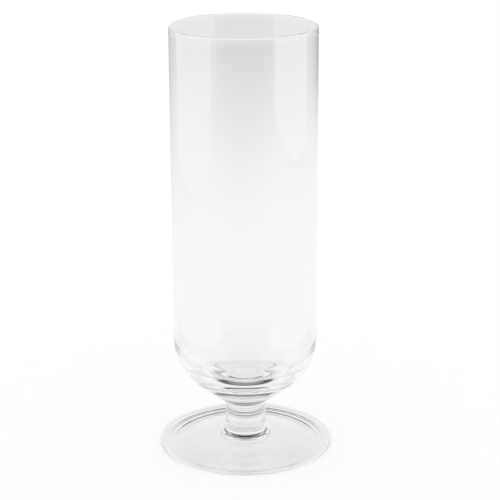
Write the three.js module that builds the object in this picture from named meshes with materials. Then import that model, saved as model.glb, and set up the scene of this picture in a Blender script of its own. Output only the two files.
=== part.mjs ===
// Footed cocktail glass: a tall blown bowl, a short solid stem and a pressed foot, fused hot to one another.
// Millimetres, +Z up. The origin is on the table, under the middle of the foot.

import * as THREE from 'three';

// Overall
const overallHeight = 185;

// Foot: a shallow cone that stands on a flat ring, hollow underneath
const footDiameter = 75.6;
const footEdgeThickness = 2.65;
const footEdgeRounding = 1.3;
const footJointHeight = 7.6;
const footFilletRadius = 3;
const standingRingWidth = 1.2;
const footHollowDepth = 3.2;
const footHollowPower = 3.6;

// Stem: a solid round rod between the two fused joints
const stemDiameter = 17.6;
const stemLength = 11.7;

// Bowl: a cone that opens out of the stem, a round shoulder, then a straight wall up to a melted rim
const bowlDiameter = 61.8;
const bowlWall = 1.2;
const bowlConeAngle = THREE.MathUtils.degToRad(37);
const bowlShoulderRadius = 24;
const bowlFilletRadius = 1;
const bowlBaseThickness = 13.5;
const bowlInnerCornerRadius = 16.5;

// Clear soda glass: the tint is what shows where a piece is thick
const bowlTint = 0xeef2f1;
const stemTint = 0xe8eeec;
const footTint = 0xe6ecea;
const bowlRoughness = 0.02;
const stemRoughness = 0.04;
const footRoughness = 0.06;
const glassOpacity = 0.3;

// Fineness of the turned surfaces
const turnSegments = 72;
const arcSteps = 4;
const hollowSteps = 12;

const quarterTurn = Math.PI / 2;
const stemRadius = stemDiameter / 2;
const bowlJointHeight = footJointHeight + stemLength;

// Turns an outline of radius and height about the Z axis. The outline starts and ends on the axis.
function turned(name, outline, material) {
  const geometry = new THREE.LatheGeometry(outline.getPoints(arcSteps), turnSegments);
  geometry.rotateX(quarterTurn);
  const mesh = new THREE.Mesh(geometry, material);
  mesh.name = name;
  return mesh;
}

function clearGlass(tint, roughness) {
  const material = new THREE.MeshStandardMaterial({ color: tint, roughness, metalness: 0 });
  material.transparent = true;
  material.opacity = glassOpacity;
  return material;
}

function makeFoot() {
  // The edge's rounding is never more than half its thickness.
  const edgeRounding = Math.min(footEdgeRounding, footEdgeThickness / 2);
  const edgeCentreRadius = footDiameter / 2 - edgeRounding;
  const edgeTopCentreHeight = footEdgeThickness - edgeRounding;
  const hollowRadius = edgeCentreRadius - standingRingWidth;
  const filletCentreRadius = stemRadius + footFilletRadius;

  // The sloping top is the line that touches both the rounded edge and the fillet at the stem.
  const run = edgeCentreRadius - filletCentreRadius;
  const rise = footJointHeight - edgeTopCentreHeight;
  const roundings = edgeRounding + footFilletRadius;
  const topSlope = Math.atan2(rise, run) - Math.asin(roundings / Math.hypot(run, rise));

  // The hollow is nearly flat in the middle and falls steeply to the standing ring.
  const outline = new THREE.Path();
  outline.moveTo(0, footHollowDepth);
  for (let step = 1; step <= hollowSteps; step += 1) {
    const share = step / hollowSteps;
    outline.lineTo(hollowRadius * share, footHollowDepth * (1 - share ** footHollowPower));
  }
  outline.absarc(edgeCentreRadius, edgeRounding, edgeRounding, -quarterTurn, 0, false);
  outline.absarc(edgeCentreRadius, edgeTopCentreHeight, edgeRounding, 0, quarterTurn - topSlope, false);
  outline.absarc(
    filletCentreRadius,
    footJointHeight,
    footFilletRadius,
    -quarterTurn - topSlope,
    -Math.PI,
    true,
  );
  outline.lineTo(0, footJointHeight);
  return turned('foot', outline, clearGlass(footTint, footRoughness));
}

function makeStem() {
  const outline = new THREE.Path();
  outline.moveTo(0, footJointHeight);
  outline.lineTo(stemRadius, footJointHeight);
  outline.lineTo(stemRadius, bowlJointHeight);
  outline.lineTo(0, bowlJointHeight);
  return turned('stem', outline, clearGlass(stemTint, stemRoughness));
}

function makeBowl() {
  const outerRadius = bowlDiameter / 2;
  const innerRadius = outerRadius - bowlWall;

  // The fillet starts at the joint and ends where it touches the cone.
  const filletCentreRadius = stemRadius + bowlFilletRadius;
  const filletEndAngle = quarterTurn + bowlConeAngle;
  const coneStartRadius = filletCentreRadius + bowlFilletRadius * Math.cos(filletEndAngle);
  const coneStartHeight = bowlJointHeight + bowlFilletRadius * Math.sin(filletEndAngle);

  // The cone runs on to where it touches the shoulder.
  const shoulderCentreRadius = outerRadius - bowlShoulderRadius;
  const coneEndRadius = shoulderCentreRadius + bowlShoulderRadius * Math.sin(bowlConeAngle);
  const coneEndHeight = coneStartHeight + (coneEndRadius - coneStartRadius) * Math.tan(bowlConeAngle);
  const shoulderCentreHeight = coneEndHeight + bowlShoulderRadius * Math.cos(bowlConeAngle);

  const rimRounding = bowlWall / 2;
  const rimCentreHeight = overallHeight - rimRounding;

  const floorHeight = bowlJointHeight + bowlBaseThickness;
  const innerCornerCentreRadius = innerRadius - bowlInnerCornerRadius;
  const innerCornerCentreHeight = floorHeight + bowlInnerCornerRadius;

  const outline = new THREE.Path();
  outline.moveTo(0, bowlJointHeight);
  outline.lineTo(stemRadius, bowlJointHeight);
  outline.absarc(filletCentreRadius, bowlJointHeight, bowlFilletRadius, Math.PI, filletEndAngle, true);
  outline.absarc(
    shoulderCentreRadius,
    shoulderCentreHeight,
    bowlShoulderRadius,
    bowlConeAngle - quarterTurn,
    0,
    false,
  );
  outline.absarc(outerRadius - rimRounding, rimCentreHeight, rimRounding, 0, Math.PI, false);
  outline.absarc(
    innerCornerCentreRadius,
    innerCornerCentreHeight,
    bowlInnerCornerRadius,
    0,
    -quarterTurn,
    true,
  );
  outline.lineTo(0, floorHeight);
  return turned('bowl', outline, clearGlass(bowlTint, bowlRoughness));
}

const cocktailGlass = new THREE.Group();
cocktailGlass.add(makeFoot(), makeStem(), makeBowl());

export default cocktailGlass;
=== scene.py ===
import math
import bpy
from mathutils import Matrix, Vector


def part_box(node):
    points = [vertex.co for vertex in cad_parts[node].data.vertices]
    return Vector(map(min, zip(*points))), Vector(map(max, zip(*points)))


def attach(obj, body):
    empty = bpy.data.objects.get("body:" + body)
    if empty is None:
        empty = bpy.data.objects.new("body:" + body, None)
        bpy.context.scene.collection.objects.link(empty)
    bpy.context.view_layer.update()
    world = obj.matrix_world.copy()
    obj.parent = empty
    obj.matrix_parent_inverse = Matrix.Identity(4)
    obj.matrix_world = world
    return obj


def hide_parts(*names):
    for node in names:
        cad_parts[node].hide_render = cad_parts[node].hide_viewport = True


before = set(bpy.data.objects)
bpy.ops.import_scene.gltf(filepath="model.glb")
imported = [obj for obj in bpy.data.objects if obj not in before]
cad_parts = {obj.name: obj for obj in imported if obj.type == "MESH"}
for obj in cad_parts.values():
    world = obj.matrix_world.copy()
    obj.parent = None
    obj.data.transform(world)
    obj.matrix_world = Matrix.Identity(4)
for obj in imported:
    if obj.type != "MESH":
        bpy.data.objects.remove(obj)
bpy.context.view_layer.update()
scene = bpy.context.scene
millimetre = 0.001

# the frame gives the sizes that the pieces share
bowlLow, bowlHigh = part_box("bowl")
stemLow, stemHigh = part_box("stem")
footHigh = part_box("foot")[1]
stemRadius = stemHigh.x


# camera, solved from the photo together with the glass's outline
photoView = {
    "lens": 123.6,          # mm on a 36 mm wide sensor
    "sensor": 36.0,
    "away": 0.7003,         # metres in front of the glass
    "above": 0.3079,        # metres over the table
    "lookDown": 17.415,     # degrees
    "lookAside": -0.186,
    "lean": -0.262,
}


def placeCamera():
    camera = bpy.data.objects.new("photoCamera", bpy.data.cameras.new("photoCamera"))
    scene.collection.objects.link(camera)
    camera.data.lens = photoView["lens"]
    camera.data.sensor_width = photoView["sensor"]
    spot = Matrix.Translation((0, -photoView["away"], photoView["above"]))
    aside = Matrix.Rotation(math.radians(photoView["lookAside"]), 4, "Z")
    down = Matrix.Rotation(math.radians(90 - photoView["lookDown"]), 4, "X")
    lean = Matrix.Rotation(math.radians(photoView["lean"]), 4, "Z")
    camera.matrix_world = spot @ aside @ down @ lean
    scene.camera = camera


placeCamera()
print("camera placed")


# small helpers for node trees

def addNode(tree, kind, **values):
    node = tree.nodes.new(kind)
    for name, value in values.items():
        setattr(node, name, value)
    return node


def feed(tree, socket, value):
    if isinstance(value, bpy.types.NodeSocket):
        tree.links.new(value, socket)
    else:
        socket.default_value = value


def calc(tree, operation, first, second=None):
    node = addNode(tree, "ShaderNodeMath", operation=operation)
    feed(tree, node.inputs[0], first)
    if second is not None:
        feed(tree, node.inputs[1], second)
    return node.outputs[0]


def ease(tree, value, low, high, lowOut=0.0, highOut=1.0):
    node = addNode(tree, "ShaderNodeMapRange", interpolation_type="SMOOTHSTEP")
    feed(tree, node.inputs["Value"], value)
    node.inputs["From Min"].default_value = low
    node.inputs["From Max"].default_value = high
    node.inputs["To Min"].default_value = lowOut
    node.inputs["To Max"].default_value = highOut
    return node.outputs["Result"]


def blend(tree, share, first, second):
    mix = addNode(tree, "ShaderNodeMix", data_type="FLOAT")
    feed(tree, mix.inputs["Factor"], share)
    feed(tree, mix.inputs["A"], first)
    feed(tree, mix.inputs["B"], second)
    return mix.outputs["Result"]


def splitSpot(tree, spot):
    split = addNode(tree, "ShaderNodeSeparateXYZ")
    feed(tree, split.inputs[0], spot)
    return split.outputs


def fromAxis(tree, spot):
    squares = [calc(tree, "POWER", spot[axis], 2.0) for axis in ("X", "Y")]
    return calc(tree, "SQRT", calc(tree, "ADD", squares[0], squares[1]))


def newTree(owner):
    owner.use_nodes = True
    owner.node_tree.nodes.clear()
    return owner.node_tree


# turning tree: an outline of radius and height, swept about the upright axis

turning = {
    "steps": 256,                    # flats round the axis
    "weld": 0.5e-6,                  # closes the seam and the poles
    "sharpAngle": math.radians(25),  # corners that stay crisp
    "nearJoint": 1e-5,               # a face this close to a joint's height belongs to it
    "sameSpot": 1e-7,                # outline points this close are one
}

turningInputs = {
    "Outline": "NodeSocketGeometry",
    "Turn Steps": "NodeSocketInt",
    "Weld": "NodeSocketFloat",
    "Sharp Angle": "NodeSocketFloat",
    "Lower Joint": "NodeSocketFloat",
    "Upper Joint": "NodeSocketFloat",
    "Joint Radius": "NodeSocketFloat",
    "Glass": "NodeSocketMaterial",
    "Fused Joint": "NodeSocketMaterial",
}


def atHeight(tree, height, joint):
    gap = calc(tree, "ABSOLUTE", calc(tree, "SUBTRACT", height, joint))
    return calc(tree, "LESS_THAN", gap, turning["nearJoint"])


def buildTurningTree():
    tree = bpy.data.node_groups.new("turnedOutline", "GeometryNodeTree")
    for name, kind in turningInputs.items():
        tree.interface.new_socket(name, in_out="INPUT", socket_type=kind)
    tree.interface.new_socket("Piece", in_out="OUTPUT", socket_type="NodeSocketGeometry")
    given = addNode(tree, "NodeGroupInput").outputs
    result = addNode(tree, "NodeGroupOutput").inputs

    # one column of the grid for each step round the axis, one row for each outline point
    count = addNode(tree, "GeometryNodeAttributeDomainSize", component="MESH")
    feed(tree, count.inputs[0], given["Outline"])
    rows = count.outputs["Point Count"]
    grid = addNode(tree, "GeometryNodeMeshGrid")
    feed(tree, grid.inputs["Vertices X"], calc(tree, "ADD", given["Turn Steps"], 1))
    feed(tree, grid.inputs["Vertices Y"], rows)
    index = addNode(tree, "GeometryNodeInputIndex").outputs[0]
    row = calc(tree, "MODULO", index, rows)
    column = calc(tree, "FLOOR", calc(tree, "DIVIDE", calc(tree, "ADD", index, 0.5), rows))
    angle = calc(tree, "MULTIPLY", calc(tree, "DIVIDE", column, given["Turn Steps"]), 2 * math.pi)

    point = addNode(tree, "GeometryNodeSampleIndex", data_type="FLOAT_VECTOR", domain="POINT")
    feed(tree, point.inputs["Geometry"], given["Outline"])
    feed(tree, point.inputs["Value"], addNode(tree, "GeometryNodeInputPosition").outputs[0])
    feed(tree, point.inputs["Index"], row)
    onOutline = splitSpot(tree, point.outputs[0])
    spot = addNode(tree, "ShaderNodeCombineXYZ")
    feed(tree, spot.inputs["X"], calc(tree, "MULTIPLY", onOutline["X"], calc(tree, "COSINE", angle)))
    feed(tree, spot.inputs["Y"], calc(tree, "MULTIPLY", onOutline["X"], calc(tree, "SINE", angle)))
    feed(tree, spot.inputs["Z"], onOutline["Z"])
    place = addNode(tree, "GeometryNodeSetPosition")
    feed(tree, place.inputs["Geometry"], grid.outputs["Mesh"])
    feed(tree, place.inputs["Position"], spot.outputs[0])
    weld = addNode(tree, "GeometryNodeMergeByDistance")
    feed(tree, weld.inputs["Geometry"], place.outputs["Geometry"])
    feed(tree, weld.inputs["Distance"], given["Weld"])

    # smooth all round, crisp only where a flat joint meets the side
    smooth = addNode(tree, "GeometryNodeSetShadeSmooth", domain="FACE")
    feed(tree, smooth.inputs["Geometry"], weld.outputs["Geometry"])
    bend = addNode(tree, "GeometryNodeInputMeshEdgeAngle").outputs["Unsigned Angle"]
    crisp = addNode(tree, "GeometryNodeSetShadeSmooth", domain="EDGE")
    feed(tree, crisp.inputs["Geometry"], smooth.outputs["Geometry"])
    feed(tree, crisp.inputs["Selection"], calc(tree, "GREATER_THAN", bend, given["Sharp Angle"]))
    crisp.inputs["Shade Smooth"].default_value = False
    real = addNode(tree, "GeometryNodeRealizeInstances")
    feed(tree, real.inputs["Geometry"], crisp.outputs["Geometry"])

    # the flat discs where the hot pieces ran together carry no surface of their own
    where = splitSpot(tree, addNode(tree, "GeometryNodeInputPosition").outputs[0])
    atLower = atHeight(tree, where["Z"], given["Lower Joint"])
    atUpper = atHeight(tree, where["Z"], given["Upper Joint"])
    inDisc = calc(tree, "LESS_THAN", fromAxis(tree, where), given["Joint Radius"])
    fused = calc(tree, "MULTIPLY", calc(tree, "MAXIMUM", atLower, atUpper), inDisc)
    clear = addNode(tree, "GeometryNodeSetMaterial")
    feed(tree, clear.inputs["Geometry"], real.outputs["Geometry"])
    feed(tree, clear.inputs["Material"], given["Glass"])
    seam = addNode(tree, "GeometryNodeSetMaterial")
    feed(tree, seam.inputs["Geometry"], clear.outputs["Geometry"])
    feed(tree, seam.inputs["Selection"], fused)
    feed(tree, seam.inputs["Material"], given["Fused Joint"])
    feed(tree, result["Piece"], seam.outputs["Geometry"])
    return tree


def turnPiece(name, outline, glass, lowerJoint, upperJoint):
    profile = bpy.data.meshes.new(name + "Outline")
    spots = [(radius, 0.0, height) for radius, height in outline]
    profile.from_pydata(spots, [(i, i + 1) for i in range(len(spots) - 1)], [])
    turner = bpy.data.objects.new(name + "Turner", profile)
    scene.collection.objects.link(turner)
    modifier = turner.modifiers.new("turned", "NODES")
    modifier.node_group = turningTree
    values = {
        "Turn Steps": turning["steps"],
        "Weld": turning["weld"],
        "Sharp Angle": turning["sharpAngle"],
        "Lower Joint": lowerJoint,
        "Upper Joint": upperJoint,
        "Joint Radius": stemRadius,
        "Glass": glass,
        "Fused Joint": fusedJoint,
    }
    for item in turningTree.interface.items_tree:
        if item.in_out == "INPUT" and item.name in values:
            modifier[item.identifier] = values[item.name]
    turned = turner.evaluated_get(bpy.context.evaluated_depsgraph_get())
    mesh = bpy.data.meshes.new_from_object(turned)
    mesh.name = name
    turner.modifiers.remove(modifier)
    bpy.data.objects.remove(turner)
    piece = bpy.data.objects.new(name, mesh)
    scene.collection.objects.link(piece)
    return piece


# outlines are chains of arcs and lines, each cut into steps

def arc(centre, radius, start, end, steps):
    spots = []
    for step in range(steps + 1):
        turn = math.radians(start + (end - start) * step / steps)
        spots.append((centre[0] + radius * math.cos(turn), centre[1] + radius * math.sin(turn)))
    return spots


def line(start, end, steps):
    return [(start[0] + (end[0] - start[0]) * step / steps, start[1] + (end[1] - start[1]) * step / steps)
            for step in range(steps + 1)]


def chain(*runs):
    spots = []
    for run in runs:
        for spot in run:
            if not spots or math.dist(spot, spots[-1]) > turning["sameSpot"]:
                spots.append(spot)
    return spots


# clear glass, with the faint unevenness of each way of working it

bowlFinish = {"ripple": 45.0, "rippleDepth": 0.00002, "sheenLow": 0.0, "sheenHigh": 0.012, "upright": 0.25}
stemFinish = {"ripple": 160.0, "rippleDepth": 0.00001, "sheenLow": 0.0, "sheenHigh": 0.012, "upright": 0.2}
footFinish = {"ripple": 90.0, "rippleDepth": 0.00001, "sheenLow": 0.0, "sheenHigh": 0.015, "upright": 1.0}
glassLook = {
    "colour": (0.99, 0.995, 0.993, 1.0),
    "bend": 1.52,
    "hazeFineness": 2,      # times as fine as the ripple
    "hazeFrom": 0.45,
    "hazeFull": 0.8,
}


def makeGlass(name, finish):
    glass = bpy.data.materials.new(name)
    glass.use_nodes = True
    tree = glass.node_tree
    shader = tree.nodes["Principled BSDF"]
    shader.inputs["Base Color"].default_value = glassLook["colour"]
    shader.inputs["Transmission Weight"].default_value = 1.0
    shader.inputs["IOR"].default_value = glassLook["bend"]
    spot = addNode(tree, "ShaderNodeTexCoord").outputs["Object"]
    stretch = addNode(tree, "ShaderNodeMapping")
    feed(tree, stretch.inputs["Vector"], spot)
    stretch.inputs["Scale"].default_value = (1.0, 1.0, finish["upright"])
    ripple = addNode(tree, "ShaderNodeTexNoise")
    feed(tree, ripple.inputs["Vector"], stretch.outputs[0])
    ripple.inputs["Scale"].default_value = finish["ripple"]
    ripple.inputs["Detail"].default_value = 1.0
    bump = addNode(tree, "ShaderNodeBump")
    bump.inputs["Strength"].default_value = 1.0
    bump.inputs["Distance"].default_value = finish["rippleDepth"]
    feed(tree, bump.inputs["Height"], ripple.outputs["Fac"])
    feed(tree, shader.inputs["Normal"], bump.outputs["Normal"])
    haze = addNode(tree, "ShaderNodeTexNoise")
    feed(tree, haze.inputs["Vector"], spot)
    haze.inputs["Scale"].default_value = finish["ripple"] * glassLook["hazeFineness"]
    sheen = ease(tree, haze.outputs["Fac"], glassLook["hazeFrom"], glassLook["hazeFull"],
                 finish["sheenLow"], finish["sheenHigh"])
    feed(tree, shader.inputs["Roughness"], sheen)
    return glass


def makeFusedJoint():
    joint = bpy.data.materials.new("fusedJoint")
    tree = newTree(joint)
    through = addNode(tree, "ShaderNodeBsdfTransparent")
    out = addNode(tree, "ShaderNodeOutputMaterial")
    feed(tree, out.inputs["Surface"], through.outputs[0])
    return joint


bowlGlass = makeGlass("bowlGlass", bowlFinish)
stemGlass = makeGlass("stemGlass", stemFinish)
footGlass = makeGlass("footGlass", footFinish)
fusedJoint = makeFusedJoint()
turningTree = buildTurningTree()
print("glass and turning tree ready")


# bowl: cone out of the stem, round shoulder, straight wall, melted rim, thick base inside

bowlShape = {
    "wall": 1.2 * millimetre,
    "fillet": 1.0 * millimetre,
    "cone": 37.0,                        # degrees up from level
    "shoulder": 24.0 * millimetre,
    "base": 13.5 * millimetre,           # glass under the inside floor, down to the joint
    "innerCorner": 16.5 * millimetre,
    "jointSteps": 6,
    "filletSteps": 10,
    "coneSteps": 12,
    "curveSteps": 48,                    # shoulder and inner corner
    "wallSteps": 40,
    "rimSteps": 20,
    "floorSteps": 10,
}


def makeBowl():
    shape = bowlShape
    joint = bowlLow.z
    outer = bowlHigh.x
    inner = outer - shape["wall"]
    cone = math.radians(shape["cone"])
    filletSpot = (stemRadius + shape["fillet"], joint)
    fillet = arc(filletSpot, shape["fillet"], 180, 90 + shape["cone"], shape["filletSteps"])
    coneEndRadius = outer - shape["shoulder"] + shape["shoulder"] * math.sin(cone)
    coneEnd = (coneEndRadius, fillet[-1][1] + (coneEndRadius - fillet[-1][0]) * math.tan(cone))
    shoulderSpot = (outer - shape["shoulder"], coneEnd[1] + shape["shoulder"] * math.cos(cone))
    shoulder = arc(shoulderSpot, shape["shoulder"], shape["cone"] - 90, 0, shape["curveSteps"])
    rimRadius = shape["wall"] / 2
    rim = arc((outer - rimRadius, bowlHigh.z - rimRadius), rimRadius, 0, 180, shape["rimSteps"])
    floor = joint + shape["base"]
    cornerSpot = (inner - shape["innerCorner"], floor + shape["innerCorner"])
    corner = arc(cornerSpot, shape["innerCorner"], 0, -90, shape["curveSteps"])
    outline = chain(
        line((0, joint), (stemRadius, joint), shape["jointSteps"]),
        fillet,
        line(fillet[-1], coneEnd, shape["coneSteps"]),
        shoulder,
        line(shoulder[-1], rim[0], shape["wallSteps"]),
        rim,
        line(rim[-1], corner[0], shape["wallSteps"]),
        corner,
        line(corner[-1], (0, floor), shape["floorSteps"]),
    )
    return turnPiece("bowlClear", outline, bowlGlass, joint, joint)


# stem: a plain solid rod between its two fused joints

stemShape = {"jointSteps": 6, "sideSteps": 16}


def makeStem():
    shape = stemShape
    outline = chain(
        line((0, stemLow.z), (stemRadius, stemLow.z), shape["jointSteps"]),
        line((stemRadius, stemLow.z), (stemRadius, stemHigh.z), shape["sideSteps"]),
        line((stemRadius, stemHigh.z), (0, stemHigh.z), shape["jointSteps"]),
    )
    return turnPiece("stemClear", outline, stemGlass, stemLow.z, stemHigh.z)


# foot: standing ring, shallow hollow below, rounded edge, sloping top, fillet up to the stem

footShape = {
    "edge": 2.65 * millimetre,
    "rounding": 1.3 * millimetre,
    "fillet": 3.0 * millimetre,
    "ring": 1.2 * millimetre,
    "hollow": 3.2 * millimetre,
    "hollowPower": 3.6,                  # flat in the middle, steep towards the ring
    "hollowSteps": 40,
    "ringSteps": 6,
    "edgeSteps": 14,
    "topSteps": 30,
    "filletSteps": 20,
    "jointSteps": 6,
}


def makeFoot():
    shape = footShape
    joint = footHigh.z
    edgeRadius = footHigh.x - shape["rounding"]
    edgeTop = shape["edge"] - shape["rounding"]
    filletRadius = stemRadius + shape["fillet"]
    run = edgeRadius - filletRadius
    rise = joint - edgeTop
    # the top is the line that touches both the rounded edge and the fillet
    roundings = shape["rounding"] + shape["fillet"]
    slope = math.degrees(math.atan2(rise, run) - math.asin(roundings / math.hypot(run, rise)))
    hollowRadius = edgeRadius - shape["ring"]
    hollow = []
    for step in range(shape["hollowSteps"] + 1):
        share = step / shape["hollowSteps"]
        hollow.append((hollowRadius * share, shape["hollow"] * (1 - share ** shape["hollowPower"])))
    lowerEdge = arc((edgeRadius, shape["rounding"]), shape["rounding"], -90, 0, shape["edgeSteps"])
    upperEdge = arc((edgeRadius, edgeTop), shape["rounding"], 0, 90 - slope, shape["edgeSteps"])
    fillet = arc((filletRadius, joint), shape["fillet"], -90 - slope, -180, shape["filletSteps"])
    outline = chain(
        hollow,
        line(hollow[-1], lowerEdge[0], shape["ringSteps"]),
        lowerEdge,
        upperEdge,
        line(upperEdge[-1], fillet[0], shape["topSteps"]),
        fillet,
        line(fillet[-1], (0, joint), shape["jointSteps"]),
    )
    return turnPiece("footClear", outline, footGlass, joint, joint)


pieces = {"bowl": makeBowl(), "stem": makeStem(), "foot": makeFoot()}
for node, piece in pieces.items():
    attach(piece, "root")
    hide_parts(node)
    print("turned", node, "with", len(piece.data.polygons), "faces")


# studio: white table, pale walls, a soft box on each side, dark room behind the camera, dim ceiling

studio = {
    "tableDrop": 0.1 * millimetre,   # keeps the table clear of the standing ring
    "tableSize": 12.0,
    "tableColour": (0.95, 0.95, 0.95, 1.0),
    "shadowShare": 0.2,              # how much of the table's white is lit, and so can be shaded
    "nearTone": 0.95,                # table seen through the glass, close by
    "farTone": 0.79,                 # and about a metre away: painted shade, greyer farther from the glass
    "farFrom": 0.2,
    "farTo": 1.1,
    "leftFarTone": 0.38,             # painted shade on the far table as the glass mirrors it, on each side
    "leftFarFrom": 0.2,
    "rightFarTone": 0.04,
    "rightFarFrom": 0.46,
    "mirrorFarTo": 0.95,
    "sideBlend": 0.05,
    "frontTone": 0.2,                # painted shade on the mirrored front edge of the table
    "frontFrom": 0.22,
    "frontTo": 0.9,
    "underShadeTone": 0.82,               # painted shade on the table under the foot
    "underFrom": 0.03,
    "underTo": 0.06,
    "shadeTone": 0.02,               # painted thin contact shadow at the back of the foot
    "shadeStart": -0.2 * millimetre,
    "shadeWidth": 2.0 * millimetre,
    "shadeSoft": 0.5 * millimetre,
    "surround": 0.8,
    "room": 0.25,                    # dark room behind the camera
    "roomFrom": 45.0,                # degrees aside from the camera
    "roomTo": 65.0,
    "backdrop": 1.0,                 # white paper behind the glass
    "backdropFrom": 120.0,
    "backdropTo": 145.0,
    "backdropLow": 14.0,             # brightest low down, where the paper meets the table
    "backdropHigh": 26.0,
    "wallsTop": 28.0,                # degrees up, where the pale walls begin to fade
    "wallsEnd": 48.0,
    "aboveWalls": 0.01,
    "ceiling": 0.25,                 # dim, straight overhead
    "ceilingFrom": 52.0,
    "ceilingFull": 66.0,
    "leftBox": {"aside": -0.43, "front": -0.35, "back": 0.27},
    "rightBox": {"aside": 0.51, "front": -0.46, "back": 0.205},
    "boxTall": 0.8,
    "boxTone": 1.0,
    "boxFrame": 0.006,               # darker lower edge of each box
    "boxEdgeTone": 0.75,
    "boxThroughTone": 0.92,          # like the table, where light only passes through the glass
    "fill": 1.15,                    # light on the table
}


def lightPath(tree):
    return addNode(tree, "ShaderNodeLightPath").outputs


# light that the glass has mirrored at least once sees another tone than light that only passes through
def whereMirrored(tree, mirrored, straight):
    mirroredOnce = calc(tree, "MINIMUM", lightPath(tree)["Glossy Depth"], 1.0)
    return blend(tree, mirroredOnce, straight, mirrored)


def fromGlass(tree):
    light = lightPath(tree)
    return calc(tree, "MAXIMUM", light["Is Transmission Ray"], light["Is Glossy Ray"])


def tableInGlass(tree):
    spot = splitSpot(tree, addNode(tree, "ShaderNodeTexCoord").outputs["Object"])
    reach = fromAxis(tree, spot)
    near = studio["nearTone"]
    # painted shade on the table as the glass sees it: white near by, a little greyer far off and under the
    # foot, mirrored dark towards the front edge
    # painted shade: the table darkens towards the front edge only where the glass mirrors it
    forward = calc(tree, "MULTIPLY", spot["Y"], -1.0)
    frontDark = ease(tree, forward, studio["frontFrom"], studio["frontTo"], 1.0, studio["frontTone"] / near)
    front = whereMirrored(tree, frontDark, 1.0)
    far = ease(tree, reach, studio["farFrom"], studio["farTo"], near, studio["farTone"])
    # painted shade: the table is greyer under the foot
    under = ease(tree, reach, studio["underFrom"], studio["underTo"], studio["underShadeTone"] / near, 1.0)
    # painted contact shadow: a thin dark ring on the table under the rounded edge at the back of the foot,
    # seen only through the glass
    shadeStart = footHigh.x + studio["shadeStart"]
    shadeEnd = shadeStart + studio["shadeWidth"]
    shadeIn = ease(tree, reach, shadeStart, shadeStart + studio["shadeSoft"])
    shadeOut = ease(tree, reach, shadeEnd - studio["shadeSoft"], shadeEnd, 1.0, 0.0)
    behind = ease(tree, spot["Y"], 0.0, footHigh.y / 2)
    shade = calc(tree, "MULTIPLY", calc(tree, "MULTIPLY", shadeIn, shadeOut), behind)
    contact = blend(tree, shade, 1.0, studio["shadeTone"])
    plain = calc(tree, "MULTIPLY", far, under)
    through = calc(tree, "MULTIPLY", plain, calc(tree, "MULTIPLY", front, contact))
    # painted shade: where the glass mirrors it, the far table is darker on the right than on the left
    leftFar = ease(tree, reach, studio["leftFarFrom"], studio["mirrorFarTo"], near, studio["leftFarTone"])
    rightFar = ease(tree, reach, studio["rightFarFrom"], studio["mirrorFarTo"], near, studio["rightFarTone"])
    side = ease(tree, spot["X"], -studio["sideBlend"], studio["sideBlend"])
    mirrored = calc(tree, "MULTIPLY", blend(tree, side, leftFar, rightFar), front)
    return blend(tree, lightPath(tree)["Is Transmission Ray"], mirrored, through)


def makeTable():
    half = studio["tableSize"] / 2
    mesh = bpy.data.meshes.new("table")
    corners = [(-half, -half, 0), (half, -half, 0), (half, half, 0), (-half, half, 0)]
    mesh.from_pydata(corners, [], [(0, 1, 2, 3)])
    table = bpy.data.objects.new("table", mesh)
    scene.collection.objects.link(table)
    table.location.z = -studio["tableDrop"]

    paper = bpy.data.materials.new("whiteTable")
    tree = newTree(paper)
    # seen from the glass: the table glows with the painted shade worked out in tableInGlass
    inGlass = addNode(tree, "ShaderNodeEmission")
    feed(tree, inGlass.inputs["Strength"], tableInGlass(tree))
    # seen straight on: white, part of it lit so that the glass keeps its soft shadow
    glow = addNode(tree, "ShaderNodeEmission")
    glow.inputs["Strength"].default_value = 1.0
    lit = addNode(tree, "ShaderNodeBsdfDiffuse")
    lit.inputs["Color"].default_value = studio["tableColour"]
    seen = addNode(tree, "ShaderNodeMixShader")
    seen.inputs[0].default_value = studio["shadowShare"]
    feed(tree, seen.inputs[1], glow.outputs[0])
    feed(tree, seen.inputs[2], lit.outputs[0])
    either = addNode(tree, "ShaderNodeMixShader")
    feed(tree, either.inputs[0], fromGlass(tree))
    feed(tree, either.inputs[1], seen.outputs[0])
    feed(tree, either.inputs[2], inGlass.outputs[0])
    out = addNode(tree, "ShaderNodeOutputMaterial")
    feed(tree, out.inputs["Surface"], either.outputs[0])
    mesh.materials.append(paper)


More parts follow.
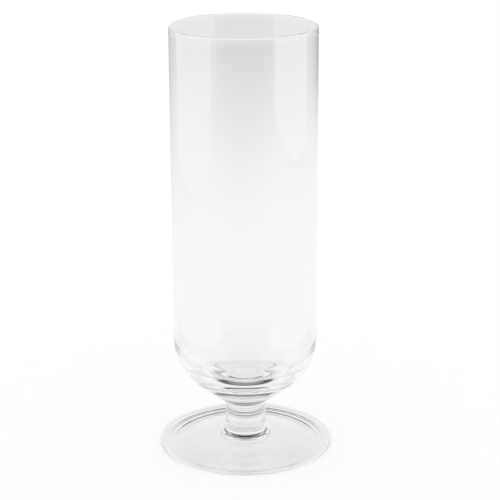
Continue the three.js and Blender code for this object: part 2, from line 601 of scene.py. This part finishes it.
def makeSurround():
    world = bpy.data.worlds.new("surround")
    scene.world = world
    tree = newTree(world)
    toward = splitSpot(tree, addNode(tree, "ShaderNodeTexCoord").outputs["Generated"])
    # the room behind the camera is dark, and so is what lies above the pale walls, up to a dim ceiling
    up = calc(tree, "DEGREES", calc(tree, "ARCSINE", toward["Z"]))
    forward = calc(tree, "MULTIPLY", toward["Y"], -1.0)
    aside = calc(tree, "ABSOLUTE", calc(tree, "ARCTAN2", toward["X"], forward))
    turn = calc(tree, "DEGREES", aside)
    sides = ease(tree, turn, studio["roomFrom"], studio["roomTo"], studio["room"], studio["surround"])
    behind = ease(tree, turn, studio["backdropFrom"], studio["backdropTo"])
    backdropGain = studio["backdrop"] - studio["surround"]
    low = ease(tree, up, studio["backdropLow"], studio["backdropHigh"], backdropGain, 0.0)
    walls = calc(tree, "ADD", sides, calc(tree, "MULTIPLY", behind, low))
    wallShare = ease(tree, up, studio["wallsTop"], studio["wallsEnd"], 1.0, 0.0)
    overhead = ease(tree, up, studio["ceilingFrom"], studio["ceilingFull"],
                    studio["aboveWalls"], studio["ceiling"])
    mirrored = calc(tree, "ADD", calc(tree, "MULTIPLY", walls, wallShare), overhead)
    glassy = whereMirrored(tree, mirrored, studio["surround"])
    unseen = blend(tree, fromGlass(tree), studio["fill"], glassy)
    sky = addNode(tree, "ShaderNodeBackground")
    sky.inputs["Color"].default_value = (1.0, 1.0, 1.0, 1.0)
    feed(tree, sky.inputs["Strength"], blend(tree, lightPath(tree)["Is Camera Ray"], unseen, 1.0))
    out = addNode(tree, "ShaderNodeOutputWorld")
    feed(tree, out.inputs["Surface"], sky.outputs[0])


def makeSheet(name, box, low, high, material):
    aside = box["aside"]
    mesh = bpy.data.meshes.new(name)
    corners = [(aside, box["front"], low), (aside, box["back"], low),
               (aside, box["back"], high), (aside, box["front"], high)]
    mesh.from_pydata(corners, [], [(0, 1, 2, 3)])
    mesh.materials.append(material)
    sheet = bpy.data.objects.new(name, mesh)
    scene.collection.objects.link(sheet)
    sheet.visible_camera = False


def makeGlow(name, strength):
    glow = bpy.data.materials.new(name)
    tree = newTree(glow)
    light = addNode(tree, "ShaderNodeEmission")
    feed(tree, light.inputs["Strength"], whereMirrored(tree, strength, studio["boxThroughTone"]))
    out = addNode(tree, "ShaderNodeOutputMaterial")
    feed(tree, out.inputs["Surface"], light.outputs[0])
    return glow


def makeSoftBoxes():
    cloth = makeGlow("softBoxCloth", studio["boxTone"])
    edge = makeGlow("softBoxEdge", studio["boxEdgeTone"])
    for name in ("leftBox", "rightBox"):
        makeSheet(name + "Cloth", studio[name], studio["boxFrame"], studio["boxTall"], cloth)
        makeSheet(name + "Edge", studio[name], 0.0, studio["boxFrame"], edge)


makeTable()
makeSurround()
makeSoftBoxes()
print("studio ready")

# enough bounces for light that runs round inside the thick foot
bounces = {"inGlass": 1024, "throughJoints": 32}
scene.cycles.max_bounces = bounces["inGlass"]
scene.cycles.transmission_bounces = bounces["inGlass"]
scene.cycles.glossy_bounces = bounces["inGlass"]
scene.cycles.transparent_max_bounces = bounces["throughJoints"]
scene.view_settings.view_transform = "Standard"
